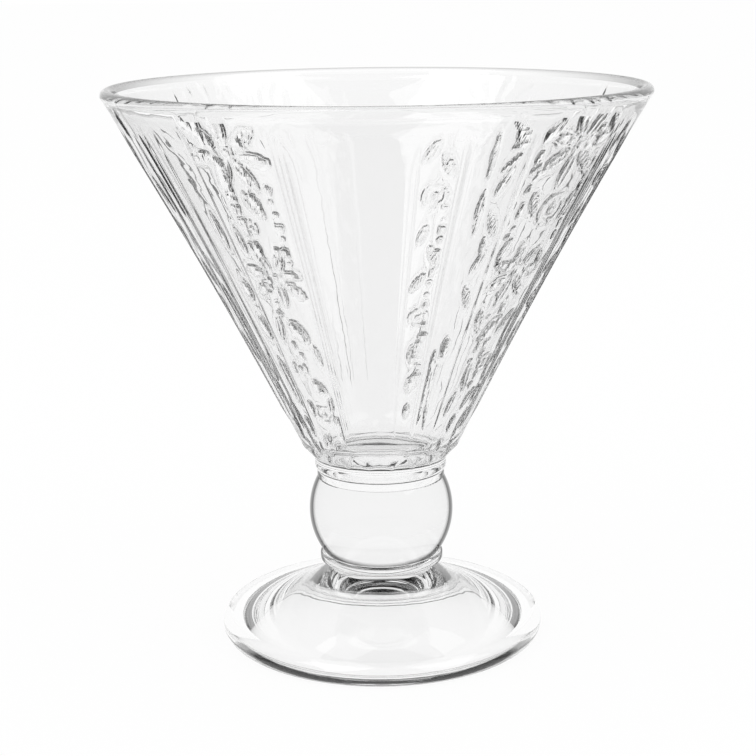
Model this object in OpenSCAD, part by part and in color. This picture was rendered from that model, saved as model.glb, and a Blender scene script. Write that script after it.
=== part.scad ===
// Parfait glass: a pressed conical bowl on a ball knop and a domed foot.
// The pieces stand on each other face to face round the Z axis, and the foot rests on Z = 0.
// The front of the glass faces -Y.

/* [Foot] */
// Radius of the foot
foot_r = 35.4; // [30:0.2:45]
// Thickness of the foot's rounded edge
foot_edge_t = 5.2; // [3:0.1:8]
// Height of the foot, from the table to the seat of the lower collar
foot_h = 16.3; // [12.5:0.1:24]
// Radius of the short neck on top of the foot
foot_neck_r = 11.4; // [8:0.1:12.5]
// Height of that neck
foot_neck_h = 1.5; // [0.5:0.1:3]
// Radius of the domed hollow under the foot
foot_hollow_r = 30.5; // [15:0.5:31]
// Depth of that hollow in the middle
foot_hollow_h = 12.4; // [1:0.1:13]

/* [Lower collar] */
// Radius of the ring between the foot and the knop
lower_collar_r = 13.5; // [13:0.1:18]
// Height of that ring
lower_collar_h = 2.1; // [1:0.1:5]
// Rounding of its edges
lower_collar_round = 0.9; // [0.2:0.05:1]

/* [Knop] */
// Radius of the ball
knop_r = 15.75; // [14.5:0.05:20]
// Radius of the ball's lower seat
knop_low_seat_r = 12.6; // [9:0.1:14]
// Radius of the ball's upper seat
knop_top_seat_r = 13.8; // [9:0.1:14]

/* [Upper collar] */
// Radius of the ring between the knop and the bowl
upper_collar_r = 13.9; // [12:0.1:18]
// Height of that ring
upper_collar_h = 1.9; // [1:0.1:5]
// Rounding of its edges
upper_collar_round = 0.45; // [0.1:0.05:0.9]

/* [Bowl] */
// Radius of the bowl at its lip
bowl_rim_r = 57; // [45:0.5:70]
// Radius of the bowl's base
bowl_base_r = 14.1; // [13:0.1:20]
// Height of the bowl, from the upper collar to the top of the lip
bowl_h = 82.7; // [60:0.1:110]
// How far the wall bows inward, half way up, from a straight cone
bowl_flare = 1.1; // [0:0.1:3]
// Thickness of the wall near the floor, measured level
bowl_wall = 3.4; // [2.8:0.1:5]
// Thickness of the lip, which is a full round
lip_t = 2.8; // [1.8:0.1:3.4]
// How far the wall is tucked in just above the bowl's base
bowl_tuck = 0.9; // [0:0.1:1.2]
// Height over which it is tucked in
tuck_h = 6; // [3:0.1:7]
// Solid glass under the cavity
bowl_floor_t = 4.5; // [4:0.5:20]
// Radius of the round where the cavity's wall meets its floor
cavity_round = 10; // [2:0.5:12]

/* [Moulded panels] */
// Height of the ribs' lower ends above the bowl's base
rib_low_h = 8; // [5:0.5:20]
// Plain band between the ribs' tops and the top of the lip
rib_top_gap = 4; // [3:0.1:10]
// How much shorter than the ribs the flowered panels are, at each end
panel_inset = 2; // [1:0.1:6]
// How far a flowered panel's ground stands out from the wall
panel_rise = 0.3; // [0.1:0.05:0.6]
// How far a rib stands out from the wall
rib_rise = 0.7; // [0.3:0.05:1]
// How deep panels and ribs are rooted in the wall
strip_root = 1; // [0.5:0.1:1.5]

/* [Hidden] */

$fn = 120;
// Straight steps that stand for a quarter round, the bowl's flare, the dome and the hollow
round_steps = 6;
flare_steps = 8;
tuck_steps = 6;
dome_steps = 10;
hollow_steps = 12;

// Levels of the seats, from the table up
lower_collar_z = foot_h;
knop_z = lower_collar_z + lower_collar_h;
knop_low_h = sqrt(pow(knop_r, 2) - pow(knop_low_seat_r, 2));
knop_top_h = sqrt(pow(knop_r, 2) - pow(knop_top_seat_r, 2));
upper_collar_z = knop_z + knop_low_h + knop_top_h;
bowl_z = upper_collar_z + upper_collar_h;

// The mould has two like halves. Each repeat runs from the left edge of a wide plain panel,
// and the first such edge lies a little left of the front.
mould_parts = 2;
repeat_turn = 360 / mould_parts;
first_edge_turn = -90 - 18.5;

// Strips that stand out, as shares of one repeat: where each starts and how wide it is.
// A panel's edge lies under the middle of the rib beside it.
panel_shares = [[0.147, 0.060], [0.285, 0.141], [0.447, 0.057], [0.869, 0.1136]];
rib_shares = [
    [0.200, 0.014], [0.281, 0.008], [0.500, 0.008], [0.667, 0.008],
    [0.748, 0.009], [0.785, 0.005], [0.812, 0.005]
];
// The ribs made of three fine lines: where each group starts, then a line's width and pitch
line_group_shares = [0.424, 0.981];
line_share = 0.004;
line_pitch_share = 0.0072;
lines_in_group = 3;

// Radius of the bowl's outside at height h above its base
lip_r = lip_t / 2;
wall_top_h = bowl_h - lip_r;
function outer_r(h) =
    let (t = h / wall_top_h, tuck = h < tuck_h ? bowl_tuck * pow(sin(180 * h / tuck_h), 2) : 0)
    bowl_base_r + (bowl_rim_r - bowl_base_r) * t - 4 * bowl_flare * t * (1 - t) - tuck;
// Radius of the cavity at height h: the wall thins evenly from the floor to the lip
function inner_r(h) = outer_r(h) - bowl_wall + (bowl_wall - lip_t) * h / wall_top_h;

// Points of an arc about centre c, from angle a to angle b
function arc(c, r, a, b, steps) =
    [for (i = [0:steps]) let (g = a + (b - a) * i / steps) c + r * [cos(g), sin(g)]];
// Points along the bowl's outside, moved out by rise, from height h1 to height h2
function wall_line(h1, h2, rise) =
    [for (i = [0:flare_steps]) let (h = h1 + (h2 - h1) * i / flare_steps) [outer_r(h) + rise, h]];

// The foot's dome sweeps up from the rounded edge at t = 0 to the neck at t = 1
dome_low_r = foot_r - foot_edge_t / 2;
dome_top_h = foot_h - foot_neck_h;
dome_bend_share = 0.75;
function dome_point(t) = [
    dome_low_r + (foot_neck_r - dome_low_r) * t,
    foot_edge_t + (dome_top_h - foot_edge_t) * (dome_bend_share * t * t + (1 - dome_bend_share) * t)
];

module foot() {
    edge_r = foot_edge_t / 2;
    hollow = [
        for (i = [0:hollow_steps])
            let (t = i / hollow_steps)
            [foot_hollow_r * t, foot_hollow_h * (1 - t * t)]
    ];
    edge = arc([dome_low_r, edge_r], edge_r, -90, 90, 2 * round_steps);
    dome = [for (i = [1:dome_steps]) dome_point(i / dome_steps)];
    color([0.93, 0.95, 0.96, 0.7])
        rotate_extrude()
            polygon(concat(hollow, edge, dome, [[foot_neck_r, foot_h], [0, foot_h]]));
}

// A disc with both edges rounded
module collar(r, h, edge_round) {
    e = min(edge_round, h / 3);
    rotate_extrude()
        polygon(concat(
            [[0, 0]],
            arc([r - e, e], e, -90, 0, round_steps),
            arc([r - e, h - e], e, 0, 90, round_steps),
            [[0, h]]));
}

module lower_collar() {
    color([0.88, 0.92, 0.94, 0.7])
        translate([0, 0, lower_collar_z])
            collar(lower_collar_r, lower_collar_h, lower_collar_round);
}

// A true ball, cut flat at its two seats
module ball_knop() {
    seats_h = knop_low_h + knop_top_h;
    color([0.84, 0.88, 0.91, 0.7])
        translate([0, 0, knop_z])
            intersection() {
                translate([0, 0, knop_low_h]) sphere(r = knop_r);
                cylinder(r = 2 * knop_r, h = seats_h);
            }
}

module upper_collar() {
    color([0.88, 0.92, 0.94, 0.7])
        translate([0, 0, upper_collar_z])
            collar(upper_collar_r, upper_collar_h, upper_collar_round);
}

// The plain bowl: outside, full round lip, inside and rounded floor
module bowl_shell() {
    lean = atan2(outer_r(bowl_floor_t + cavity_round) - outer_r(bowl_floor_t), cavity_round);
    cavity_low_h = bowl_floor_t + cavity_round * (1 - sin(lean));
    cavity_low = [inner_r(cavity_low_h), cavity_low_h];
    floor_centre = cavity_low - cavity_round * [cos(lean), -sin(lean)];
    lip_step = 180 / (2 * round_steps);
    inside = [
        for (i = [0:flare_steps - 1])
            let (h = wall_top_h + (cavity_low_h - wall_top_h) * i / flare_steps)
            [inner_r(h), h]
    ];
    rotate_extrude()
        polygon(concat(
            [[0, 0]],
            [for (i = [0:tuck_steps - 1]) let (h = tuck_h * i / tuck_steps) [outer_r(h), h]],
            wall_line(tuck_h, wall_top_h, 0),
            arc([bowl_rim_r - lip_r, wall_top_h], lip_r, lip_step, 180 - lip_step, 2 * round_steps - 2),
            inside,
            arc(floor_centre, cavity_round, -lean, -90, round_steps),
            [[0, bowl_floor_t]]));
}

// One strip that stands out from the wall: where it starts and how wide it is, as shares
module strip(start_share, width_share, rise, inset) {
    low = rib_low_h + inset;
    high = bowl_h - rib_top_gap - inset;
    rotate([0, 0, start_share * repeat_turn])
        rotate_extrude(angle = width_share * repeat_turn)
            polygon(concat(
                wall_line(low - rise, high + rise, -strip_root),
                wall_line(high, low, rise)));
}

module one_repeat() {
    for (s = panel_shares) strip(s[0], s[1], panel_rise, panel_inset);
    for (s = rib_shares) strip(s[0], s[1], rib_rise, 0);
    for (s = line_group_shares, i = [0:lines_in_group - 1])
        strip(s + i * line_pitch_share, line_share, rib_rise, 0);
}

module bowl() {
    color([0.92, 0.95, 0.97, 0.7])
        translate([0, 0, bowl_z]) {
            bowl_shell();
            for (i = [0:mould_parts - 1])
                rotate([0, 0, first_edge_turn + i * repeat_turn]) one_repeat();
        }
}

foot();
lower_collar();
ball_knop();
upper_collar();
bowl();
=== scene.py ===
from math import asin, atan2, cos, degrees, hypot, pi, radians, sin, sqrt

import bmesh
import bpy
from mathutils import Matrix, Vector


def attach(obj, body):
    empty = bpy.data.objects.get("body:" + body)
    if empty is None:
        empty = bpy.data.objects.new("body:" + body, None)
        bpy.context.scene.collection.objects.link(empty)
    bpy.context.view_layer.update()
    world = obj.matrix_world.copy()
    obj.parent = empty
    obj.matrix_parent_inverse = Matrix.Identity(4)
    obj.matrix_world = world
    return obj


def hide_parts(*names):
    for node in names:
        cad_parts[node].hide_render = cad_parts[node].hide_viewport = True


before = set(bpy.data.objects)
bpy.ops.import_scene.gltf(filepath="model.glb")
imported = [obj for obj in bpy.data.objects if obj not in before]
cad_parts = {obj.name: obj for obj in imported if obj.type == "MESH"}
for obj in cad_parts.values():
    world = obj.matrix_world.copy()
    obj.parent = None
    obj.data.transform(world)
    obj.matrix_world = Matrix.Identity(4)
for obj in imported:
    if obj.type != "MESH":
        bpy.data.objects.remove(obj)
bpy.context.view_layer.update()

# Studio: a white sweep that fills the view, lit evenly from all round, as for a catalogue
# picture of clear glass, under a dark ceiling that only the glass shows. The lens stands
# three rim widths off, a little above the rim.

MM = 0.001
# How white the room looks, how strongly it lights, and the share of it that each mirroring
# in glass keeps.
white_level = 1.0
room_light = 0.9
mirrored_room = 0.3
# By how far up a direction points: where the white walls end and where the ceiling starts.
white_below, dark_above, ceiling = 0.36, 0.48, 0.0
scene = bpy.context.scene
scene.view_settings.view_transform = "Standard"
scene.cycles.max_bounces = 40
scene.cycles.transmission_bounces = 40
scene.cycles.glossy_bounces = 24
scene.cycles.transparent_max_bounces = 64
scene.cycles.caustics_reflective = False


def new_material(name):
    material = bpy.data.materials.new(name)
    material.use_nodes = True
    tree = material.node_tree
    tree.nodes.clear()
    return material, tree


def add(tree, kind, **values):
    """A node of this kind, with its settings and its inputs set by name."""
    node = tree.nodes.new(kind)
    for key, value in values.items():
        if hasattr(node, key):
            setattr(node, key, value)
        else:
            node.inputs[key.replace("_", " ")].default_value = value
    return node


def seen_directly(tree):
    """1 for rays from the lens and for those that glass mirrors or lets through."""
    path = add(tree, "ShaderNodeLightPath")
    total = path.outputs["Is Camera Ray"]
    for name in ("Is Glossy Ray", "Is Transmission Ray"):
        either = add(tree, "ShaderNodeMath", operation="MAXIMUM")
        tree.links.new(total, either.inputs[0])
        tree.links.new(path.outputs[name], either.inputs[1])
        total = either.outputs[0]
    return total


def mirrored_share(tree, kept_share):
    """1, of which each mirroring on the way from the lens keeps only a share."""
    path = add(tree, "ShaderNodeLightPath")
    kept = add(tree, "ShaderNodeMath", operation="POWER")
    kept.inputs[0].default_value = kept_share
    tree.links.new(path.outputs["Glossy Depth"], kept.inputs[1])
    return kept.outputs[0]


def build_world():
    """Rays from the lens see white. Rays let in through glass see the dark ceiling too, and
    each mirroring on their way keeps only a share of the light."""
    world = bpy.data.worlds.new("white_room")
    scene.world = world
    world.use_nodes = True
    tree = world.node_tree
    tree.nodes.clear()
    toward = add(tree, "ShaderNodeTexCoord")
    parts = add(tree, "ShaderNodeSeparateXYZ")
    tree.links.new(toward.outputs["Generated"], parts.inputs[0])
    sky = add(tree, "ShaderNodeValToRGB")
    sky.color_ramp.elements[0].position = white_below
    sky.color_ramp.elements[0].color = (1, 1, 1, 1)
    sky.color_ramp.elements[1].position = dark_above
    sky.color_ramp.elements[1].color = (ceiling, ceiling, ceiling, 1)
    tree.links.new(parts.outputs["Z"], sky.inputs[0])
    shown = add(tree, "ShaderNodeBackground")
    let_in = add(tree, "ShaderNodeMath", operation="MINIMUM")
    let_in.inputs[1].default_value = 1.0
    tree.links.new(add(tree, "ShaderNodeLightPath").outputs["Transmission Depth"], let_in.inputs[0])
    overhead = add(tree, "ShaderNodeMix", data_type="RGBA")
    overhead.inputs[6].default_value = (1, 1, 1, 1)
    tree.links.new(let_in.outputs[0], overhead.inputs[0])
    tree.links.new(sky.outputs[0], overhead.inputs[7])
    tree.links.new(overhead.outputs[2], shown.inputs["Color"])
    level = add(tree, "ShaderNodeMix", data_type="FLOAT")
    level.inputs[2].default_value = white_level
    tree.links.new(let_in.outputs[0], level.inputs[0])
    tree.links.new(mirrored_share(tree, mirrored_room), level.inputs[3])
    tree.links.new(level.outputs[0], shown.inputs["Strength"])
    lit = add(tree, "ShaderNodeBackground", Color=(1, 1, 1, 1), Strength=room_light)
    mix = add(tree, "ShaderNodeMixShader")
    out = add(tree, "ShaderNodeOutputWorld")
    tree.links.new(seen_directly(tree), mix.inputs[0])
    tree.links.new(lit.outputs[0], mix.inputs[1])
    tree.links.new(shown.outputs[0], mix.inputs[2])
    tree.links.new(mix.outputs[0], out.inputs["Surface"])


def build_floor():
    size, shown_share = 6.0, 0.95
    mesh = bpy.data.meshes.new("floor")
    corners = [(-size, -size, 0), (size, -size, 0), (size, size, 0), (-size, size, 0)]
    mesh.from_pydata(corners, [], [(0, 1, 2, 3)])
    floor = bpy.data.objects.new("floor", mesh)
    scene.collection.objects.link(floor)
    material, tree = new_material("white_sweep")
    paint = add(tree, "ShaderNodeBsdfDiffuse", Color=(0.9, 0.9, 0.9, 1))
    glow = add(tree, "ShaderNodeEmission", Color=(1, 1, 1, 1), Strength=white_level)
    mix = add(tree, "ShaderNodeMixShader")
    share = add(tree, "ShaderNodeMath", operation="MULTIPLY")
    share.inputs[1].default_value = shown_share
    out = add(tree, "ShaderNodeOutputMaterial")
    tree.links.new(seen_directly(tree), share.inputs[0])
    tree.links.new(share.outputs[0], mix.inputs[0])
    tree.links.new(paint.outputs[0], mix.inputs[1])
    tree.links.new(glow.outputs[0], mix.inputs[2])
    tree.links.new(mix.outputs[0], out.inputs["Surface"])
    mesh.materials.append(material)


def build_camera():
    distance, height = 355.7 * MM, 145.0 * MM
    pitch, roll, yaw = 0.2423, -0.0108, 0.0011
    sensor, focal_px, picture_px = 36.0, 1692.6, 756
    data = bpy.data.cameras.new("lens")
    data.sensor_width = sensor
    data.lens = sensor * focal_px / picture_px
    data.clip_start = 0.01
    camera = bpy.data.objects.new("lens", data)
    turn = Matrix.Rotation(yaw, 4, "Z") @ Matrix.Rotation(pi / 2 - pitch, 4, "X")
    place = Matrix.Translation((0, -distance, height))
    camera.matrix_world = place @ turn @ Matrix.Rotation(roll, 4, "Z")
    scene.collection.objects.link(camera)
    scene.camera = camera


def build_lamps():
    for name, place, width, power in (
        ("key_softbox", (-0.6, -0.5, 1.1), 0.8, 3.0),
        ("fill_softbox", (0.7, -0.3, 0.9), 0.8, 2.0),
    ):
        data = bpy.data.lights.new(name, "AREA")
        data.size = width
        data.energy = power
        lamp = bpy.data.objects.new(name, data)
        lamp.location = place
        aim = Vector((0, 0, 0.06)) - lamp.location
        lamp.rotation_euler = aim.to_track_quat("-Z", "Y").to_euler()
        scene.collection.objects.link(lamp)


build_world()
build_floor()
build_camera()
build_lamps()

# Foot: clear glass, pressed in one gather with a short neck on top, a dome, a thick rounded
# edge and a deep hollow underneath, so that it stands on a ring. The dome is fire polished.

foot_r, foot_edge_t, foot_h = 35.4, 5.2, 16.3
foot_neck_r, foot_neck_h = 11.4, 1.5
foot_hollow_r, foot_hollow_h = 30.5, 12.4
# The share of the dome's rise that sweeps up towards the neck. The rest is an even slope.
foot_dome_bend = 0.75
glass_ior = 1.5


def fused_seat():
    """Where two gathers are fused there is no surface, so light goes straight on."""
    material, tree = new_material("fused_seat")
    clear = add(tree, "ShaderNodeBsdfTransparent")
    out = add(tree, "ShaderNodeOutputMaterial")
    tree.links.new(clear.outputs[0], out.inputs["Surface"])
    return material


def surface_waves():
    """The soft waves that the surface of every gather sets with, as a normal."""
    tree = bpy.data.node_groups.new("surface_waves", "ShaderNodeTree")
    for label in ("Scale", "Depth"):
        tree.interface.new_socket(label, in_out="INPUT", socket_type="NodeSocketFloat")
    tree.interface.new_socket("Normal", in_out="OUTPUT", socket_type="NodeSocketVector")
    given = add(tree, "NodeGroupInput").outputs
    result = add(tree, "NodeGroupOutput").inputs
    place = add(tree, "ShaderNodeTexCoord")
    wave = add(tree, "ShaderNodeTexNoise", Detail=2.0)
    bump = add(tree, "ShaderNodeBump", Strength=1.0)
    tree.links.new(place.outputs["Object"], wave.inputs["Vector"])
    tree.links.new(given["Scale"], wave.inputs["Scale"])
    tree.links.new(wave.outputs["Fac"], bump.inputs["Height"])
    tree.links.new(given["Depth"], bump.inputs["Distance"])
    tree.links.new(bump.outputs[0], result["Normal"])
    return tree


def clear_glass(
    name, clear_to, dark_from, kept=1.0, clear=1.0, wave_size=9 * MM, wave_depth=0.05 * MM,
):
    """Colourless soda glass with soft waves, whose base colour carries painted shade. It is
    clear up to the share clear_to of a full turn away and painted dark from dark_from on, for
    the dark that glass shows where it turns from the eye, and each mirroring on a ray's way
    keeps only the share kept of its colour."""
    material, tree = new_material(name)
    glass = add(tree, "ShaderNodeBsdfPrincipled", Roughness=0.0, IOR=glass_ior)
    glass.inputs["Transmission Weight"].default_value = 1.0
    # Painted shade: the base colour goes from clear to black as the surface turns away from the eye.
    edge = add(tree, "ShaderNodeLayerWeight", Blend=0.5)
    painted_edge_shade = add(tree, "ShaderNodeValToRGB")
    painted_edge_shade.color_ramp.elements[0].position = clear_to
    painted_edge_shade.color_ramp.elements[0].color = (clear, clear, clear, 1)
    painted_edge_shade.color_ramp.elements[1].position = dark_from
    painted_edge_shade.color_ramp.elements[1].color = (0.0, 0.0, 0.0, 1)
    tree.links.new(edge.outputs["Facing"], painted_edge_shade.inputs[0])
    tree.links.new(painted_edge_shade.outputs[0], glass.inputs["Base Color"])
    # Painted shade: the base colour is darkened again for each mirroring on the ray's way.
    if kept < 1:
        lost = add(tree, "ShaderNodeVectorMath", operation="SCALE")
        tree.links.new(painted_edge_shade.outputs[0], lost.inputs[0])
        tree.links.new(mirrored_share(tree, kept), lost.inputs["Scale"])
        tree.links.new(lost.outputs[0], glass.inputs["Base Color"])
    waves = add(tree, "ShaderNodeGroup", node_tree=gather_waves)
    waves.inputs["Scale"].default_value = 1 / wave_size
    waves.inputs["Depth"].default_value = wave_depth
    tree.links.new(waves.outputs["Normal"], glass.inputs["Normal"])
    out = add(tree, "ShaderNodeOutputMaterial")
    tree.links.new(glass.outputs[0], out.inputs["Surface"])
    return material


def arc(centre, radius, start, end, steps):
    """Points round centre from one angle to another, in degrees."""
    angles = [radians(start + (end - start) * i / steps) for i in range(steps + 1)]
    return [(centre[0] + radius * cos(a), centre[1] + radius * sin(a)) for a in angles]


def turned(name, profile, seats, material, columns=240):
    """A closed solid of revolution. profile runs from the axis round to the axis again, in
    millimetres. seats are the levels whose flat faces are fused to a neighbour."""
    mesh = bpy.data.meshes.new(name)
    shape = bmesh.new()
    rings = []
    for r, z in profile:
        if r == 0:
            rings.append([shape.verts.new((0, 0, z * MM))])
            continue
        turns = [2 * pi * i / columns for i in range(columns)]
        rings.append([shape.verts.new((r * cos(t) * MM, r * sin(t) * MM, z * MM)) for t in turns])
    for low, high, (_, z1), (_, z2) in zip(rings, rings[1:], profile, profile[1:]):
        fused = z1 == z2 and z1 in seats
        for i in range(columns):
            j = (i + 1) % columns
            corners = [low[i % len(low)], low[j % len(low)], high[j % len(high)], high[i % len(high)]]
            face = shape.faces.new(list(dict.fromkeys(corners)))
            face.smooth = not fused
            face.material_index = 1 if fused else 0
    bmesh.ops.recalc_face_normals(shape, faces=shape.faces)
    shape.to_mesh(mesh)
    shape.free()
    mesh.materials.append(material)
    mesh.materials.append(seat_glass)
    mesh.set_sharp_from_angle(angle=radians(30))
    piece = bpy.data.objects.new(name, mesh)
    scene.collection.objects.link(piece)
    return piece


def settle(piece, node):
    """The piece rides on the one body and stands for its node."""
    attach(piece, "root")
    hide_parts(node)


seat_glass = fused_seat()
gather_waves = surface_waves()
# Painted shade: the foot's colour is painted dark from 0.97 of a turn away on, and each mirroring keeps 0.9
# of it.
foot_glass = clear_glass("foot_glass", clear_to=0.97, dark_from=1.0, kept=0.9)


def foot_profile():
    hollow_steps, edge_steps, dome_steps = 24, 24, 32
    edge_r = foot_edge_t / 2
    low_r = foot_r - edge_r
    rise = foot_h - foot_neck_h - foot_edge_t
    hollow = [
        (foot_hollow_r * i / hollow_steps, foot_hollow_h * (1 - (i / hollow_steps) ** 2))
        for i in range(hollow_steps + 1)
    ]
    edge = arc((low_r, edge_r), edge_r, -90, 90, edge_steps)
    dome = []
    for i in range(1, dome_steps + 1):
        t = i / dome_steps
        sweep = foot_dome_bend * t * t + (1 - foot_dome_bend) * t
        dome.append((low_r + (foot_neck_r - low_r) * t, foot_edge_t + rise * sweep))
    return hollow + edge + dome + [(foot_neck_r, foot_h), (0, foot_h)]


foot = turned("foot", foot_profile(), [foot_h], foot_glass)
settle(foot, "foot")

# Lower collar: a ring of glass with rounded edges, fused between the foot's neck and the
# ball. It is wider than the neck, and the dark line round the stem is partly the light that its rounded edge
# bends and partly painted shade, as its glass is painted dark where it turns away.

lower_collar_r, lower_collar_h, lower_collar_round = 13.5, 2.1, 0.7
knop_z = foot_h + lower_collar_h


def collar_profile(r, low, high, edge):
    round_steps = 8
    under = arc((r - edge, low + edge), edge, -90, 0, round_steps)
    over = arc((r - edge, high - edge), edge, 0, 90, round_steps)
    return [(0, low)] + under + over + [(0, high)]


# The lower collar's and the ball's glass, slightly grey, with painted shade: its colour is painted black
# from 0.7 of a turn away on, for the dark lines at its rounded edges.
polished_glass = clear_glass("polished_glass", clear_to=0.6, dark_from=0.7, clear=0.93)
lower_collar = turned(
    "lower_collar",
    collar_profile(lower_collar_r, foot_h, knop_z, lower_collar_round),
    [foot_h, knop_z],
    polished_glass,
)
settle(lower_collar, "lower_collar")

# Ball knop: the solid ball of clear glass that is the whole stem, cut flat where it is fused
# to the rings above and below it.

knop_r, knop_low_seat_r, knop_top_seat_r = 15.75, 12.6, 13.8
knop_low_h = sqrt(knop_r**2 - knop_low_seat_r**2)
knop_top_h = sqrt(knop_r**2 - knop_top_seat_r**2)
upper_collar_z = knop_z + knop_low_h + knop_top_h


def knop_profile():
    side_steps = 48
    low = -degrees(asin(knop_low_h / knop_r))
    high = degrees(asin(knop_top_h / knop_r))
    side = arc((0, knop_z + knop_low_h), knop_r, low, high, side_steps)
    side[0] = (knop_low_seat_r, knop_z)
    side[-1] = (knop_top_seat_r, upper_collar_z)
    return [(0, knop_z)] + side + [(0, upper_collar_z)]


ball_knop = turned("ball_knop", knop_profile(), [knop_z, upper_collar_z], polished_glass)
settle(ball_knop, "ball_knop")

# Upper collar: the thin ring of clear glass that the bowl stands on, fused to the ball and
# to the bowl. Its edges are less rounded than the lower collar's.

upper_collar_r, upper_collar_h, upper_collar_round = 13.9, 1.9, 0.45
bowl_z = upper_collar_z + upper_collar_h
# Painted shade: the upper collar's colour is painted black from 0.7 of a turn away on, for the dark lines at
# its edges.
collar_glass = clear_glass("collar_glass", clear_to=0.6, dark_from=0.7)
upper_collar = turned(
    "upper_collar",
    collar_profile(upper_collar_r, upper_collar_z, bowl_z, upper_collar_round),
    [upper_collar_z, bowl_z],
    collar_glass,
)
settle(upper_collar, "upper_collar")

# Bowl: clear glass pressed in a two-part mould whose halves are alike, with a rounded floor
# and a full round lip, and fused to the upper collar. The mould's face is cut with ribs and
# with a garland of flowers, leaves and beads, so the pattern stands proud of the outside.

bowl_rim_r, bowl_base_r, bowl_h, bowl_flare = 57.0, 14.1, 82.7, 1.1
bowl_wall, lip_t, bowl_floor_t, cavity_round = 3.4, 2.8, 4.5, 10.0
bowl_tuck, tuck_h = 0.9, 6.0
lip_r = lip_t / 2
wall_top_h = bowl_h - lip_r
wall_lean = atan2(bowl_rim_r - bowl_base_r, wall_top_h)
mould_turn = 180
# Where the panels lie on the mould laid out flat: how far apart, and a place that none covers.
panel_pitch = 60.0
off_mould = (-500.0, -500.0, 0.0)
# The mould's face, read off the photograph, in degrees to the right of the front:
# where each panel starts and ends.
smooth_panel = (-18.5, 8.0)
flower_box = (8.0, 17.5)
cut_strip = (20.0, 32.0)
wide_garland = (33.5, 57.5)
side_box = (62.0, 71.5)
side_smooth = (73.0, 101.5)
leaf_strip = (103.0, 116.0)
oval_strip = (118.0, 137.5)
narrow_garland = (138.0, 158.0)
panels = (
    smooth_panel, flower_box, cut_strip, wide_garland, side_box, side_smooth, leaf_strip,
    oval_strip, narrow_garland,
)
# Each rib: its middle and half its width in degrees, and how far it stands proud in mm.
ribs = (
    (8.2, 0.35, 0.10), (17.3, 0.35, 0.10), (18.8, 1.1, 0.30), (32.7, 0.75, 0.25),
    (58.2, 0.6, 0.25), (59.5, 0.6, 0.25), (60.8, 0.6, 0.25), (72.3, 0.75, 0.25), (102.3, 0.75, 0.25),
    (117.0, 0.8, 0.28), (123.0, 0.9, 0.30), (128.0, 0.8, 0.28), (137.8, 0.5, 0.2),
    (158.6, 0.55, 0.2), (159.75, 0.55, 0.2), (160.9, 0.55, 0.2),
)
# Heights over which the ribs come up from the base and, measured down from the top of the
# wall, go down again below the lip.
ribs_up, ribs_down = (11, 16), (12, 3)
# The panels' scalloped lower ends: their mean height, how far they wave, and one wave's turn.
scallop_h, scallop_wave, scallop_turn = 5.4, 1.5, 18.0
# How far a panel stands proud, over what height below and above the scallops it comes up, and
# from what height it slowly goes down again, to how far below the top of the wall.
panel_rise, panel_soft_below, panel_soft_above, panel_down = 0.2, 0.6, 0.3, (15, 5)


def outer_r(h):
    t = h / wall_top_h
    tuck = bowl_tuck * sin(pi * h / tuck_h) ** 2 if 0 < h < tuck_h else 0
    return bowl_base_r + (bowl_rim_r - bowl_base_r) * t - 4 * bowl_flare * t * (1 - t) - tuck


def inner_r(h):
    return outer_r(h) - bowl_wall + (bowl_wall - lip_t) * h / wall_top_h


def smooth_step(low, high, value):
    t = min(max((value - low) / (high - low), 0), 1)
    return t * t * (3 - 2 * t)


def panel_at(turn):
    """The panel that this turn falls in, and the turn brought back to the first mould part."""
    turn = (turn - smooth_panel[0]) % mould_turn + smooth_panel[0]
    for index, (start, end) in enumerate(panels):
        if start <= turn <= end:
            return index, turn
    return None, turn


def on_mould(turn, h):
    """A place on the bowl's outside laid out flat on its mould panel, in mm."""
    index, turn = panel_at(turn)
    if index is None:
        return off_mould[:2]
    middle = sum(panels[index]) / 2
    return panel_pitch * index + radians(turn - middle) * outer_r(h), h / cos(wall_lean)


def pressed_rise(turn, h):
    """How far the ribs and the scalloped lower end of the panels stand proud, in mm."""
    turn = panel_at(turn)[1]
    rise = 0.0
    for middle, half, height in ribs:
        t = abs(turn - middle) / half
        if t < 1:
            rise = max(rise, height * (1 - t * t))
    fade_from, fade_to = (wall_top_h - below for below in ribs_down)
    rise *= smooth_step(*ribs_up, h) * (1 - smooth_step(fade_from, fade_to, h))
    wave = cos(radians((turn - smooth_panel[0]) * 360 / scallop_turn))
    low_end = scallop_h + scallop_wave * wave
    panel = smooth_step(low_end - panel_soft_below, low_end + panel_soft_above, h)
    gone = smooth_step(panel_down[0], wall_top_h - panel_down[1], h)
    return rise + panel_rise * panel * (1 - gone)


def bowl_columns():
    """Turns of the mesh columns: wide apart in plain glass, close together in the pattern."""
    plain_gap, pattern_gap, least_gap, seam_gap = 2.2, 0.42, 0.09, 0.2
    across_rib, beside_rib = (-1, -0.7, -0.35, 0, 0.35, 0.7, 1), 1.05
    turns = set()
    for start, end in panels:
        gap = plain_gap if (start, end) in (smooth_panel, side_smooth) else pattern_gap
        count = round((end - start) / gap)
        turns |= {start + (end - start) * i / count for i in range(count + 1)}
    for middle, half, _ in ribs:
        turns = {t for t in turns if abs(t - middle) > half * beside_rib}
        turns |= {middle + half * share for share in across_rib}
    kept = []
    for turn in sorted(turns):
        if not kept or turn - kept[-1] > least_gap:
            kept.append(turn)
    if kept[0] + mould_turn - kept[-1] < seam_gap:
        kept.pop()
    return [turn + mould_turn * part for part in range(360 // mould_turn) for turn in kept]


# Mesh rows: the height of the close rows at the base, the rows of the rim and of the lip,
# and the lip's row where its inner half starts.
base_h, rim_rows, lip_rows, lip_inside_row = 7.0, 3, 8, 3


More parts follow.
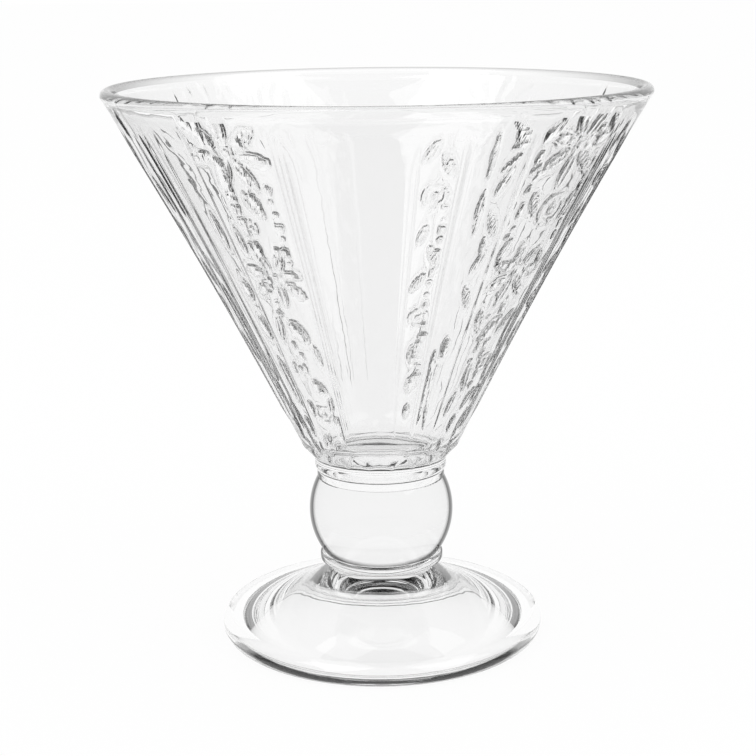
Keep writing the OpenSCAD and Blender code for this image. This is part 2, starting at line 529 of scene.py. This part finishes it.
def bowl_rows():
    """Heights of the rows outside, then the points of the lip, the cavity and its floor."""
    base_rows, wall_rows, inside_rows, floor_rows = 14, 86, 8, 10
    # The wall leans nearly evenly, so its lean near the floor's round says where they meet.
    near_meeting = 0.58
    low_h = bowl_floor_t + cavity_round * near_meeting
    lean = atan2(inner_r(low_h + 1) - inner_r(low_h), 1)
    low_h = bowl_floor_t + cavity_round * (1 - sin(lean))
    centre = (inner_r(low_h) - cavity_round * cos(lean), low_h + cavity_round * sin(lean))
    wall_h = wall_top_h - base_h - rim_rows
    outside = [base_h * i / base_rows for i in range(base_rows + 1)]
    outside += [base_h + wall_h * i / wall_rows for i in range(1, wall_rows + 1)]
    outside += [wall_top_h - rim_rows + i for i in range(1, rim_rows + 1)]
    lip = arc((bowl_rim_r - lip_r, wall_top_h), lip_r, 20, 180, lip_rows)
    inside = []
    for i in range(1, inside_rows + 1):
        h = wall_top_h + (low_h - wall_top_h) * i / inside_rows
        inside.append((inner_r(h), h))
    floor = arc(centre, cavity_round, -degrees(lean), -90, floor_rows)[1:]
    return outside, lip + inside + floor


# The bowl's four glasses, in the order in which its mesh carries them.
pressed_slot, seat_slot, lip_slot, lip_inside_slot = range(4)


def bowl_blank():
    """The bowl with its ribs, before the garland is pressed. Each point of the outside
    carries its place on the flat mould."""
    pattern_low_h, pattern_top_h = 6, wall_top_h - 1
    turns = bowl_columns()
    outside, rest = bowl_rows()
    across, up = cos(wall_lean), -sin(wall_lean)
    points, places = [(0, 0, bowl_z * MM)], [off_mould]
    for h in outside:
        for turn in turns:
            rise = pressed_rise(turn, h)
            r = outer_r(h) + rise * across
            a = radians(turn - 90)
            points.append((r * cos(a) * MM, r * sin(a) * MM, (bowl_z + h + rise * up) * MM))
            covered = pattern_low_h < h < pattern_top_h
            places.append((*on_mould(turn, h), 0.0) if covered else off_mould)
    for r, h in rest:
        for turn in turns:
            a = radians(turn - 90)
            points.append((r * cos(a) * MM, r * sin(a) * MM, (bowl_z + h) * MM))
            places.append(off_mould)
    points.append((0, 0, (bowl_z + bowl_floor_t) * MM))
    places.append(off_mould)
    count, rows = len(turns), len(outside) + len(rest)
    faces, slots = [], []
    for i in range(count):
        faces.append((0, 1 + (i + 1) % count, 1 + i))
        slots.append(seat_slot)
    lip_start = len(outside) - rim_rows
    lip_inside_start = len(outside) + lip_inside_row
    lip_end = len(outside) + lip_rows
    for row in range(rows - 1):
        low = 1 + row * count
        slot = pressed_slot
        if lip_start <= row < lip_inside_start:
            slot = lip_slot
        elif lip_inside_start <= row < lip_end:
            slot = lip_inside_slot
        for i in range(count):
            j = (i + 1) % count
            faces.append((low + i, low + j, low + count + j, low + count + i))
            slots.append(slot)
    top = 1 + (rows - 1) * count
    for i in range(count):
        faces.append((top + i, top + (i + 1) % count, len(points) - 1))
        slots.append(pressed_slot)
    mesh = bpy.data.meshes.new("bowl")
    mesh.from_pydata(points, [], faces)
    mesh.polygons.foreach_set("material_index", slots)
    mesh.polygons.foreach_set("use_smooth", [slot != seat_slot for slot in slots])
    place = mesh.attributes.new("mould_place", "FLOAT_VECTOR", "POINT")
    place.data.foreach_set("vector", [value for point in places for value in point])
    mesh.update()
    return mesh


# What is cut in the mould, placed after the photograph, as (kind, degrees to the right
# of the front, height above the table in mm, turn in degrees, length, width).
leaf, flower, bud, rosette = range(4)
cut_motifs = [
    # the wide garland
    (flower, 46.5, 111.0, 8, 21, 21), (leaf, 37.5, 114.5, 60, 8, 3.4), (bud, 56.0, 114.5, 130, 6, 3.2),
    (rosette, 47.5, 98.0, 0, 8, 8), (leaf, 54.0, 98.5, 70, 8, 3.0), (leaf, 40.0, 99.5, 120, 7, 2.8),
    (flower, 44.5, 85.0, 0, 15, 15), (leaf, 36.0, 90.5, 75, 6, 2.4), (leaf, 53.5, 87.0, 110, 6, 2.2),
    (bud, 43.5, 72.5, 75, 7, 4.0), (leaf, 51.5, 74.0, 60, 7, 2.6), (leaf, 36.8, 75.0, 110, 7, 2.4),
    (rosette, 50.0, 65.0, 0, 4.6, 4.6), (leaf, 42.0, 62.0, 100, 8, 2.6), (leaf, 50.0, 56.5, 70, 6, 2.2),
    (leaf, 38.0, 56.0, 85, 7, 1.8), (bud, 45.0, 51.0, 90, 4.5, 2.2), (leaf, 53.5, 49.5, 80, 4, 1.6),
    # the narrow garland
    (flower, 148.2, 111.0, -14, 20, 20), (bud, 140.8, 116.2, -35, 6, 4),
    (leaf, 150.0, 100.5, 118, 8, 3.8), (rosette, 147.0, 96.0, 0, 3.6, 3.6),
    (flower, 149.0, 85.5, 12, 15, 15), (leaf, 141.5, 93.0, 100, 7, 2.2),
    (bud, 150.6, 73.6, 112, 7, 4.2), (leaf, 142.8, 74.0, 80, 7, 2.4), (leaf, 155.5, 68.5, 95, 6, 1.8),
    (bud, 151.5, 61.0, 125, 5, 3.2), (rosette, 145.0, 65.0, 0, 4, 4), (leaf, 155.0, 57.0, 80, 6, 1.8),
    (rosette, 149.5, 54.5, 0, 4.6, 4.6), (bud, 142.5, 55.5, 90, 5, 2.2), (leaf, 146.0, 48.0, 50, 4, 1.6),
    # the flower box, and its twin on the side
    (leaf, 10.8, 111.5, 60, 7, 2.8), (leaf, 14.8, 109.0, 118, 7, 2.8), (rosette, 12.5, 103.0, 0, 5.4, 5.4),
    (leaf, 10.8, 95.0, 75, 6, 2.2), (leaf, 14.5, 90.5, 112, 7, 2.4), (leaf, 11.0, 85.0, 60, 6, 2.2),
    (rosette, 12.7, 77.5, 0, 4.4, 4.4), (bud, 12.5, 69.5, 90, 5.5, 2.8), (bud, 12.8, 62.0, 90, 4.8, 2.4),
    (bud, 13.0, 55.8, 90, 4.5, 1.8),
    (leaf, 64.8, 111.5, 60, 7, 2.8), (leaf, 68.8, 109.0, 118, 7, 2.8), (rosette, 66.5, 103.0, 0, 5.4, 5.4),
    (leaf, 64.8, 95.0, 75, 6, 2.2), (leaf, 68.5, 90.5, 112, 7, 2.4), (leaf, 65.0, 85.0, 60, 6, 2.2),
    (rosette, 66.7, 77.5, 0, 4.4, 4.4), (bud, 66.5, 69.5, 90, 5.5, 2.8), (bud, 66.8, 62.0, 90, 4.8, 2.4),
    # the cut strip
    (leaf, 29.2, 113.5, 112, 8, 2.8),
    (leaf, 28.6, 105.0, 68, 8, 2.4), (leaf, 29.0, 96.5, 112, 8, 2.4), (leaf, 28.2, 88.5, 68, 7, 2.0),
    (leaf, 28.0, 81.0, 112, 7, 1.8), (bud, 25.0, 70.5, 90, 5.5, 2.2), (leaf, 21.8, 61.0, 86, 18, 2.6),
    # the leaf strip and the oval strip
    (leaf, 106.5, 108.0, 75, 9, 3.0), (leaf, 112.5, 100.0, 105, 9, 3.0), (leaf, 107.0, 91.0, 75, 8, 2.6),
    (leaf, 112.0, 83.0, 105, 8, 2.4), (leaf, 107.5, 75.0, 75, 8, 2.2), (leaf, 111.5, 67.0, 105, 8, 2.0),
    (leaf, 135.0, 94.5, 90, 10, 2.4), (bud, 135.0, 82.0, 90, 5.5, 3.2), (bud, 135.0, 73.5, 90, 6.5, 3.4),
    (leaf, 135.0, 61.5, 90, 14, 3.0), (bud, 135.0, 51.0, 90, 5, 2.0), (leaf, 126.0, 64.0, 80, 9, 1.8),
]
# The deepest cuts, drawn after places that were measured in the photograph with the
# fitted camera, as (kind, turn and height of one end, turn and height of the other end, width).
deep_cuts = [
    # narrow garland
    (bud, 142.5, 116.8, 144.3, 116.4, 1.1), (bud, 143.0, 115.4, 143.4, 112.9, 1.6),
    (bud, 142.4, 112.0, 145.8, 112.8, 1.8), (bud, 141.0, 109.8, 142.0, 111.2, 1.2),
    (bud, 151.4, 113.4, 152.7, 112.0, 1.1), (bud, 144.7, 109.6, 145.6, 106.9, 2.2),
    (bud, 144.8, 106.7, 145.7, 104.5, 1.7), (bud, 145.0, 104.2, 145.6, 102.6, 1.4),
    (bud, 145.2, 101.9, 145.6, 100.9, 1.1), (bud, 145.3, 100.2, 145.7, 99.0, 1.1),
    (bud, 145.3, 97.9, 145.6, 96.9, 1.0), (bud, 145.7, 95.7, 146.0, 94.7, 1.0),
    (bud, 146.1, 92.8, 147.1, 90.5, 1.8), (bud, 149.9, 103.3, 152.2, 99.8, 1.5),
    (bud, 151.9, 92.4, 153.0, 91.0, 1.1), (bud, 154.4, 91.1, 156.2, 90.4, 1.2),
    (bud, 145.4, 84.9, 147.4, 84.6, 1.1), (bud, 145.2, 83.3, 146.6, 83.0, 1.1),
    (bud, 150.4, 106.7, 151.1, 105.9, 0.9), (bud, 154.1, 97.4, 154.6, 96.5, 0.9),
    (bud, 148.6, 75.4, 151.7, 71.4, 2.0), (bud, 151.2, 61.0, 152.8, 59.5, 1.2),
    (bud, 156.5, 54.2, 156.7, 47.6, 1.7),
    # oval strip and leaf strip
    (bud, 119.4, 82.0, 119.6, 62.0, 1.5), (bud, 119.6, 64.0, 120.6, 46.0, 1.8),
    (bud, 126.5, 56.5, 131.0, 46.5, 1.2), (bud, 121.0, 113.0, 121.0, 96.0, 1.0),
    (bud, 112.6, 116.4, 113.4, 111.8, 2.0), (bud, 130.8, 46.4, 133.0, 44.0, 1.4),
    # wide garland
    (bud, 42.2, 116.2, 46.4, 116.8, 1.6), (bud, 35.2, 112.9, 36.8, 114.8, 1.9),
    (bud, 50.4, 113.6, 53.0, 114.2, 0.9), (bud, 35.9, 110.5, 35.2, 107.9, 1.3),
    (bud, 35.9, 107.3, 35.0, 105.8, 1.2), (bud, 36.3, 99.5, 36.0, 97.3, 1.0),
    (bud, 35.9, 94.0, 34.6, 92.8, 1.1), (bud, 39.7, 87.2, 42.1, 88.1, 1.1),
    (bud, 35.1, 88.7, 36.3, 86.6, 1.1), (bud, 56.6, 76.0, 56.2, 67.4, 1.6),
    (bud, 56.3, 66.0, 56.0, 60.0, 1.8), (bud, 56.2, 58.9, 55.1, 55.8, 1.6),
    (bud, 56.4, 53.5, 53.8, 46.8, 2.0), (bud, 35.2, 45.6, 37.6, 46.4, 1.7),
    (bud, 42.0, 47.2, 43.0, 45.0, 1.3),
    # cut strip: two long prisms, a folded leaf and a forked stem
    (leaf, 23.9, 115.4, 24.0, 105.2, 0.9), (leaf, 24.0, 103.8, 24.5, 94.2, 1.3),
    (bud, 26.4, 116.9, 31.4, 113.2, 1.5),
    (bud, 27.6, 93.5, 28.5, 90.0, 1.0),
    (bud, 27.4, 111.4, 31.7, 112.3, 0.9), (bud, 26.6, 106.8, 30.9, 110.4, 0.9),
    (bud, 21.3, 69.8, 21.4, 64.0, 0.9), (bud, 21.3, 67.0, 20.4, 52.0, 0.5),
    (bud, 21.7, 67.0, 25.0, 50.5, 0.5), (bud, 26.0, 71.6, 25.5, 68.0, 0.9),
    # flower box
    (bud, 13.7, 69.1, 11.7, 67.4, 1.0), (bud, 13.1, 72.4, 14.5, 70.6, 0.9),
]
# How much wider a deep cut is than its width there, and how deep it is by its kind.
cut_margin, cut_depths = 0.4, {leaf: 1.9, bud: 2.2}
# Strings of beads, each from one place to another on the mould, with its bend to the side.
bead_strings = [
    (36.6, 107.5, 36.2, 95.0, 0.3), (56.0, 107.0, 55.4, 92.0, -0.4), (40.6, 81.0, 40.2, 66.0, 0.6),
    (144.0, 107.0, 144.4, 92.0, 0.3), (155.4, 104.0, 155.2, 89.0, -0.3), (146.0, 80.0, 148.0, 68.0, -0.8),
    (15.2, 103.0, 14.8, 62.0, 0.4), (69.2, 103.0, 68.8, 62.0, 0.4), (46.0, 77.0, 47.0, 60.0, 0.5),
]


def cut_layout():
    """The motifs as loose points and the bead strings as edges, all on the flat mould."""
    string_steps, string_kind = 12, -1
    points, kinds, turns, sizes, edges = [], [], [], [], []
    for kind, turn, z, angle, length, width in cut_motifs:
        x, y = on_mould(turn, z - bowl_z)
        points.append((x, y, 0))
        kinds.append(kind)
        turns.append(radians(angle))
        sizes += [length, width, 1.0]
    for kind, turn1, z1, turn2, z2, width in deep_cuts:
        (x1, y1), (x2, y2) = on_mould(turn1, z1 - bowl_z), on_mould(turn2, z2 - bowl_z)
        points.append(((x1 + x2) / 2, (y1 + y2) / 2, 0))
        kinds.append(kind)
        turns.append(atan2(y2 - y1, x2 - x1))
        sizes += [hypot(x2 - x1, y2 - y1), width + cut_margin, cut_depths[kind]]
    for turn1, z1, turn2, z2, bend in bead_strings:
        for i in range(string_steps + 1):
            t = i / string_steps
            sway = bend * sin(3 * pi * t)
            x, y = on_mould(turn1 + (turn2 - turn1) * t, z1 + (z2 - z1) * t - bowl_z)
            if i:
                edges.append((len(points) - 1, len(points)))
            points.append((x + sway, y, 0))
            kinds.append(string_kind)
            turns.append(0)
            sizes += [1, 1, 1]
    mesh = bpy.data.meshes.new("mould_layout")
    mesh.from_pydata(points, edges, [])
    mesh.attributes.new("kind", "INT", "POINT").data.foreach_set("value", kinds)
    mesh.attributes.new("turn", "FLOAT", "POINT").data.foreach_set("value", turns)
    mesh.attributes.new("size", "FLOAT_VECTOR", "POINT").data.foreach_set("vector", sizes)
    return mesh


def math(tree, operation, first, second=None):
    """One sum on a value or two, each a number or another node's output."""
    node = add(tree, "ShaderNodeMath", operation=operation)
    for socket, value in zip(node.inputs, (first, second)):
        if isinstance(value, (int, float)):
            socket.default_value = value
        elif value is not None:
            tree.links.new(value, socket)
    return node.outputs[0]


def new_node_tree(name, inputs):
    tree = bpy.data.node_groups.new(name, "GeometryNodeTree")
    tree.interface.new_socket("Geometry", in_out="INPUT", socket_type="NodeSocketGeometry")
    for label, kind, value in inputs:
        socket = tree.interface.new_socket(label, in_out="INPUT", socket_type=kind)
        if value is not None:
            socket.default_value = value
    tree.interface.new_socket("Geometry", in_out="OUTPUT", socket_type="NodeSocketGeometry")
    return tree, add(tree, "NodeGroupInput").outputs, add(tree, "NodeGroupOutput").inputs


def named(tree, name, kind):
    node = add(tree, "GeometryNodeInputNamedAttribute", data_type=kind)
    node.inputs["Name"].default_value = name
    return node.outputs["Attribute"]


def boat(tree, grid_columns, roundness, fullness, groove):
    """A leaf or petal lying along X, one long and one wide, pointed at both ends."""
    grid = add(tree, "GeometryNodeMeshGrid", Vertices_X=grid_columns, Vertices_Y=11)
    at = add(tree, "ShaderNodeSeparateXYZ")
    tree.links.new(add(tree, "GeometryNodeInputPosition").outputs[0], at.inputs[0])
    along = math(tree, "MULTIPLY", at.outputs["X"], 2.0)
    across = math(tree, "MULTIPLY", at.outputs["Y"], 2.0)
    ends = math(tree, "SUBTRACT", 1.0, math(tree, "POWER", math(tree, "ABSOLUTE", along), 2.0))
    breadth = math(tree, "POWER", math(tree, "MAXIMUM", ends, 0.0), roundness)
    sides = math(tree, "SUBTRACT", 1.0, math(tree, "POWER", math(tree, "ABSOLUTE", across), fullness))
    arch = math(tree, "MULTIPLY", math(tree, "POWER", math(tree, "MAXIMUM", ends, 0.0), 0.5), sides)
    off_middle = math(tree, "MULTIPLY", math(tree, "ABSOLUTE", across), 4.0)
    vein = math(tree, "MAXIMUM", math(tree, "SUBTRACT", 1.0, off_middle), 0.0)
    height = math(tree, "MULTIPLY", arch, math(tree, "SUBTRACT", 1.0, math(tree, "MULTIPLY", vein, groove)))
    spot = add(tree, "ShaderNodeCombineXYZ")
    tree.links.new(at.outputs["X"], spot.inputs["X"])
    tree.links.new(math(tree, "MULTIPLY", at.outputs["Y"], breadth), spot.inputs["Y"])
    tree.links.new(height, spot.inputs["Z"])
    shaped = add(tree, "GeometryNodeSetPosition")
    tree.links.new(grid.outputs["Mesh"], shaped.inputs["Geometry"])
    tree.links.new(spot.outputs[0], shaped.inputs["Position"])
    return shaped.outputs[0]


def joined(tree, *parts):
    node = add(tree, "GeometryNodeJoinGeometry")
    for part in parts:
        tree.links.new(part, node.inputs[0])
    return node.outputs[0]


def mould_cutting():
    """Cuts every motif of the layout: leaves, flowers of petals round a boss, buds, rosettes
    and strings of beads, each at its own place, turn and size."""
    tree, given, result = new_node_tree("mould_cutting", (
        ("Petals", "NodeSocketInt", 7),
        ("Relief", "NodeSocketFloat", 0.85),
        ("Bead Size", "NodeSocketFloat", 1.9),
        ("Bead Gap", "NodeSocketFloat", 2.5),
        ("Seed", "NodeSocketInt", 4),
        ("Material", "NodeSocketMaterial", None),
    ))
    leaf_shape = boat(tree, 19, 0.8, 3.0, 0.5)
    bud_shape = boat(tree, 15, 0.5, 2.5, 0.0)
    boss = add(tree, "GeometryNodeMeshIcoSphere", Radius=0.5, Subdivisions=3)
    ring_path = add(tree, "GeometryNodeCurvePrimitiveCircle", Resolution=24, Radius=0.4)
    ring_cut = add(tree, "GeometryNodeCurvePrimitiveCircle", Resolution=8, Radius=0.11)
    ring = add(tree, "GeometryNodeCurveToMesh")
    tree.links.new(ring_path.outputs["Curve"], ring.inputs["Curve"])
    tree.links.new(ring_cut.outputs["Curve"], ring.inputs["Profile Curve"])
    lifted = add(tree, "GeometryNodeTransform", Scale=(1, 1, 6))
    tree.links.new(ring.outputs[0], lifted.inputs[0])
    middle = add(tree, "GeometryNodeTransform", Scale=(0.36, 0.36, 1.6))
    tree.links.new(boss.outputs[0], middle.inputs[0])
    rosette_shape = joined(tree, lifted.outputs[0], middle.outputs[0])

    petal_ring = add(tree, "GeometryNodeMeshCircle", Radius=0.28)
    tree.links.new(given["Petals"], petal_ring.inputs["Vertices"])
    outward = add(tree, "FunctionNodeAlignRotationToVector", axis="X")
    tree.links.new(add(tree, "GeometryNodeInputPosition").outputs[0], outward.inputs["Vector"])
    petals = add(tree, "GeometryNodeInstanceOnPoints", Scale=(0.46, 0.2, 1.0))
    tree.links.new(petal_ring.outputs[0], petals.inputs["Points"])
    tree.links.new(leaf_shape, petals.inputs["Instance"])
    tree.links.new(outward.outputs[0], petals.inputs["Rotation"])
    small = add(tree, "GeometryNodeTransform", Scale=(0.17, 0.17, 1.7))
    tree.links.new(boss.outputs[0], small.inputs[0])
    flower_shape = joined(tree, petals.outputs[0], small.outputs[0])

    level = add(tree, "FunctionNodeAxisAngleToRotation")
    tree.links.new(named(tree, "turn", "FLOAT"), level.inputs["Angle"])
    shapes = {leaf: leaf_shape, flower: flower_shape, bud: bud_shape, rosette: rosette_shape}
    placed = []
    for kind, shape in shapes.items():
        chosen = add(tree, "FunctionNodeCompare", data_type="INT", operation="EQUAL")
        tree.links.new(named(tree, "kind", "INT"), chosen.inputs[2])
        chosen.inputs[3].default_value = kind
        stamp = add(tree, "GeometryNodeInstanceOnPoints")
        tree.links.new(given["Geometry"], stamp.inputs["Points"])
        tree.links.new(chosen.outputs[0], stamp.inputs["Selection"])
        tree.links.new(shape, stamp.inputs["Instance"])
        tree.links.new(level.outputs[0], stamp.inputs["Rotation"])
        tree.links.new(named(tree, "size", "FLOAT_VECTOR"), stamp.inputs["Scale"])
        placed.append(stamp.outputs[0])

    string = add(tree, "GeometryNodeMeshToCurve")
    tree.links.new(given["Geometry"], string.inputs[0])
    spaced = add(tree, "GeometryNodeResampleCurve", mode="LENGTH")
    tree.links.new(string.outputs[0], spaced.inputs["Curve"])
    tree.links.new(given["Bead Gap"], spaced.inputs["Length"])
    uneven = add(tree, "FunctionNodeRandomValue", data_type="FLOAT")
    uneven.inputs[2].default_value = 0.7
    uneven.inputs[3].default_value = 1.25
    tree.links.new(given["Seed"], uneven.inputs["Seed"])
    beads = add(tree, "GeometryNodeInstanceOnPoints")
    tree.links.new(spaced.outputs[0], beads.inputs["Points"])
    tree.links.new(boss.outputs[0], beads.inputs["Instance"])
    tree.links.new(math(tree, "MULTIPLY", uneven.outputs[1], given["Bead Size"]), beads.inputs["Scale"])
    placed.append(beads.outputs[0])

    real = add(tree, "GeometryNodeRealizeInstances")
    tree.links.new(joined(tree, *placed), real.inputs[0])
    at = add(tree, "ShaderNodeSeparateXYZ")
    tree.links.new(add(tree, "GeometryNodeInputPosition").outputs[0], at.inputs[0])
    spot = add(tree, "ShaderNodeCombineXYZ")
    tree.links.new(at.outputs["X"], spot.inputs["X"])
    tree.links.new(at.outputs["Y"], spot.inputs["Y"])
    tree.links.new(math(tree, "MULTIPLY", at.outputs["Z"], given["Relief"]), spot.inputs["Z"])
    flat = add(tree, "GeometryNodeSetPosition")
    tree.links.new(real.outputs[0], flat.inputs["Geometry"])
    tree.links.new(spot.outputs[0], flat.inputs["Position"])
    glass = add(tree, "GeometryNodeSetMaterial")
    tree.links.new(flat.outputs[0], glass.inputs["Geometry"])
    tree.links.new(given["Material"], glass.inputs["Material"])
    tree.links.new(glass.outputs[0], result[0])
    return tree


def pressing():
    """Presses the bowl's outside into the mould. A point goes out with the motif that lies
    over its place on the flat mould, and keeps that motif's height as pressed."""
    # How high above the flat mould a probe starts, up to what height of the motif the glass
    # really goes out and by what share of it, and how much the height is blurred.
    probe_h, solid_to, solid_share, blur = 20.0, 0.6, 0.35, 0.15
    tree, given, result = new_node_tree("pressing", (
        ("Mould", "NodeSocketObject", None),
        ("Deepest", "NodeSocketFloat", 1.2),
        ("Outward Lean", "NodeSocketFloat", 0.5),
        ("Material", "NodeSocketMaterial", None),
    ))
    mould = add(tree, "GeometryNodeObjectInfo", transform_space="ORIGINAL")
    tree.links.new(given["Mould"], mould.inputs["Object"])
    above = add(tree, "ShaderNodeVectorMath", operation="ADD")
    above.inputs[1].default_value = (0, 0, probe_h)
    tree.links.new(named(tree, "mould_place", "FLOAT_VECTOR"), above.inputs[0])
    probe = add(tree, "GeometryNodeRaycast")
    probe.inputs["Ray Direction"].default_value = (0, 0, -1)
    probe.inputs["Ray Length"].default_value = probe_h
    tree.links.new(mould.outputs["Geometry"], probe.inputs["Target Geometry"])
    tree.links.new(above.outputs[0], probe.inputs["Source Position"])
    met = add(tree, "ShaderNodeSeparateXYZ")
    tree.links.new(probe.outputs["Hit Position"], met.inputs[0])
    rise = math(tree, "MULTIPLY", probe.outputs["Is Hit"], met.outputs["Z"])
    rise = math(tree, "MINIMUM", math(tree, "MAXIMUM", rise, 0.0), given["Deepest"])
    soft = add(tree, "GeometryNodeBlurAttribute", data_type="FLOAT", Iterations=1)
    soft.inputs["Weight"].default_value = blur
    tree.links.new(rise, soft.inputs[0])
    at = add(tree, "ShaderNodeSeparateXYZ")
    tree.links.new(add(tree, "GeometryNodeInputPosition").outputs[0], at.inputs[0])
    radial = add(tree, "ShaderNodeCombineXYZ")
    tree.links.new(at.outputs["X"], radial.inputs["X"])
    tree.links.new(at.outputs["Y"], radial.inputs["Y"])
    unit = add(tree, "ShaderNodeVectorMath", operation="NORMALIZE")
    tree.links.new(radial.outputs[0], unit.inputs[0])
    across = add(tree, "ShaderNodeVectorMath", operation="SCALE")
    tree.links.new(unit.outputs[0], across.inputs[0])
    tree.links.new(math(tree, "COSINE", given["Outward Lean"]), across.inputs["Scale"])
    down = add(tree, "ShaderNodeCombineXYZ")
    tree.links.new(math(tree, "MULTIPLY", math(tree, "SINE", given["Outward Lean"]), -1.0), down.inputs["Z"])
    out = add(tree, "ShaderNodeVectorMath", operation="ADD")
    tree.links.new(across.outputs[0], out.inputs[0])
    tree.links.new(down.outputs[0], out.inputs[1])
    offset = add(tree, "ShaderNodeVectorMath", operation="SCALE")
    tree.links.new(out.outputs[0], offset.inputs[0])
    solid = math(tree, "MULTIPLY", math(tree, "MINIMUM", soft.outputs[0], solid_to), solid_share * MM)
    tree.links.new(solid, offset.inputs["Scale"])
    noted = add(tree, "GeometryNodeStoreNamedAttribute", data_type="FLOAT", Name="pressed")
    tree.links.new(given["Geometry"], noted.inputs["Geometry"])
    tree.links.new(soft.outputs[0], noted.inputs["Value"])
    moved = add(tree, "GeometryNodeSetPosition")
    tree.links.new(noted.outputs[0], moved.inputs["Geometry"])
    tree.links.new(offset.outputs[0], moved.inputs["Offset"])
    real = add(tree, "GeometryNodeRealizeInstances")
    tree.links.new(moved.outputs[0], real.inputs[0])
    outer = add(tree, "FunctionNodeCompare", data_type="INT", operation="EQUAL")
    tree.links.new(add(tree, "GeometryNodeInputMaterialIndex").outputs[0], outer.inputs[2])
    glass = add(tree, "GeometryNodeSetMaterial")
    tree.links.new(real.outputs[0], glass.inputs["Geometry"])
    tree.links.new(outer.outputs[0], glass.inputs["Selection"])
    tree.links.new(given["Material"], glass.inputs["Material"])
    tree.links.new(glass.outputs[0], result[0])
    return tree


def grown(name, mesh, tree, **values):
    """Runs a node tree on a mesh and keeps what it makes as a plain mesh."""
    piece = bpy.data.objects.new(name, mesh)
    scene.collection.objects.link(piece)
    modifier = piece.modifiers.new(name, "NODES")
    modifier.node_group = tree
    for item in tree.interface.items_tree:
        label = item.name.replace(" ", "_")
        if item.in_out == "INPUT" and label in values:
            modifier[item.identifier] = values[label]
    bpy.context.view_layer.update()
    plain = bpy.data.meshes.new_from_object(piece.evaluated_get(bpy.context.evaluated_depsgraph_get()))
    piece.modifiers.clear()
    piece.data = plain
    return piece


def soft_step(tree, low, high, value):
    """0 below low, 1 above high, with a soft change between."""
    step = add(tree, "ShaderNodeMapRange", interpolation_type="SMOOTHSTEP")
    step.inputs["From Min"].default_value = low
    step.inputs["From Max"].default_value = high
    tree.links.new(value, step.inputs["Value"])
    return step.outputs[0]


def outer_skin(tree, place):
    """1 on the bowl's outside and 0 in its cavity, told by a cone half way through the wall."""
    middle_r, middle_slope = 12.6, 0.52
    at = add(tree, "ShaderNodeSeparateXYZ")
    tree.links.new(place, at.inputs[0])
    flat = add(tree, "ShaderNodeCombineXYZ")
    tree.links.new(at.outputs["X"], flat.inputs["X"])
    tree.links.new(at.outputs["Y"], flat.inputs["Y"])
    reach = add(tree, "ShaderNodeVectorMath", operation="LENGTH")
    tree.links.new(flat.outputs[0], reach.inputs[0])
    sloped = math(tree, "MULTIPLY", at.outputs["Z"], middle_slope)
    middle = math(tree, "ADD", sloped, (middle_r - middle_slope * bowl_z) * MM)
    return math(tree, "GREATER_THAN", reach.outputs["Value"], middle)


def add_relief(material, edge_depth, cut_depth):
    """Bumps the pattern's edges, and more deeply its deepest cuts, on the near wall's outside
    only, so that the far wall and the cavity don't show the same relief again."""
    # The motifs' heights over which an edge and then a deep cut comes up, and how unevenly
    # the edges are pressed: the size of a patch, the noise levels between which it goes from
    # faint to strong, the faintest one and how much more the others have.
    edge_rises, cut_rises = (0.12, 0.45), (0.45, 1.5)
    patch_size, patch_levels, faint, swing = 3 * MM, (0.35, 0.65), 0.3, 0.8
    tree = material.node_tree
    glass = tree.nodes["Principled BSDF"]
    waves = glass.inputs["Normal"].links[0].from_socket
    place = add(tree, "ShaderNodeTexCoord").outputs["Object"]
    near = math(tree, "SUBTRACT", 1.0, add(tree, "ShaderNodeNewGeometry").outputs["Backfacing"])
    near = math(tree, "MULTIPLY", near, outer_skin(tree, place))
    pressed = add(tree, "ShaderNodeAttribute", attribute_name="pressed").outputs["Fac"]
    patches = add(tree, "ShaderNodeTexNoise", Scale=1 / patch_size, Detail=1.0)
    tree.links.new(place, patches.inputs["Vector"])
    uneven = soft_step(tree, *patch_levels, patches.outputs["Fac"])
    uneven = math(tree, "MULTIPLY", uneven, swing)
    uneven = math(tree, "ADD", uneven, faint)
    edge = math(tree, "MULTIPLY", near, uneven)
    edge = math(tree, "MULTIPLY", soft_step(tree, *edge_rises, pressed), edge)
    deep = math(tree, "MULTIPLY", soft_step(tree, *cut_rises, pressed), near)
    edges = add(tree, "ShaderNodeBump", Distance=edge_depth, Strength=1.0)
    cuts = add(tree, "ShaderNodeBump", Distance=cut_depth, Strength=1.0)
    tree.links.new(edge, edges.inputs["Height"])
    tree.links.new(waves, edges.inputs["Normal"])
    tree.links.new(deep, cuts.inputs["Height"])
    tree.links.new(edges.outputs[0], cuts.inputs["Normal"])
    tree.links.new(cuts.outputs[0], glass.inputs["Normal"])


# Painted shade: the bowl's colour is painted dark from 0.9 of a turn away on, and each mirroring keeps 0.85
# of it.
pressed_glass = clear_glass(
    "pressed_glass", clear_to=0.9, dark_from=1.0, kept=0.85, clear=0.97,
    wave_size=7 * MM, wave_depth=0.04 * MM,
)
add_relief(pressed_glass, edge_depth=0.6 * MM, cut_depth=5.0 * MM)
# The lip is fire polished, and its colour is painted dark from 0.97 of a turn away on. Its inner half, next
# to the plunger's edge, is wavier, and its colour carries painted shade: grey from 0.2 of a turn away and
# black from 0.9, for the grey band that the glass shows there.
lip_glass = clear_glass("lip_glass", clear_to=0.97, dark_from=1.0)
# Painted shade: the inner half of the lip is painted greyer the more it turns from the eye.
lip_inside_glass = clear_glass(
    "lip_inside_glass", clear_to=0.2, dark_from=0.9, wave_size=11 * MM, wave_depth=0.12 * MM,
)
mould = grown(
    "mould", cut_layout(), mould_cutting(),
    Petals=7, Relief=0.85, Bead_Size=1.9, Bead_Gap=2.5, Seed=4, Material=pressed_glass,
)
blank = bowl_blank()
for material in (pressed_glass, seat_glass, lip_glass, lip_inside_glass):
    blank.materials.append(material)
bowl = grown(
    "bowl", blank, pressing(),
    Mould=mould, Deepest=1.2, Outward_Lean=wall_lean, Material=pressed_glass,
)
bpy.data.objects.remove(mould)
settle(bowl, "bowl")
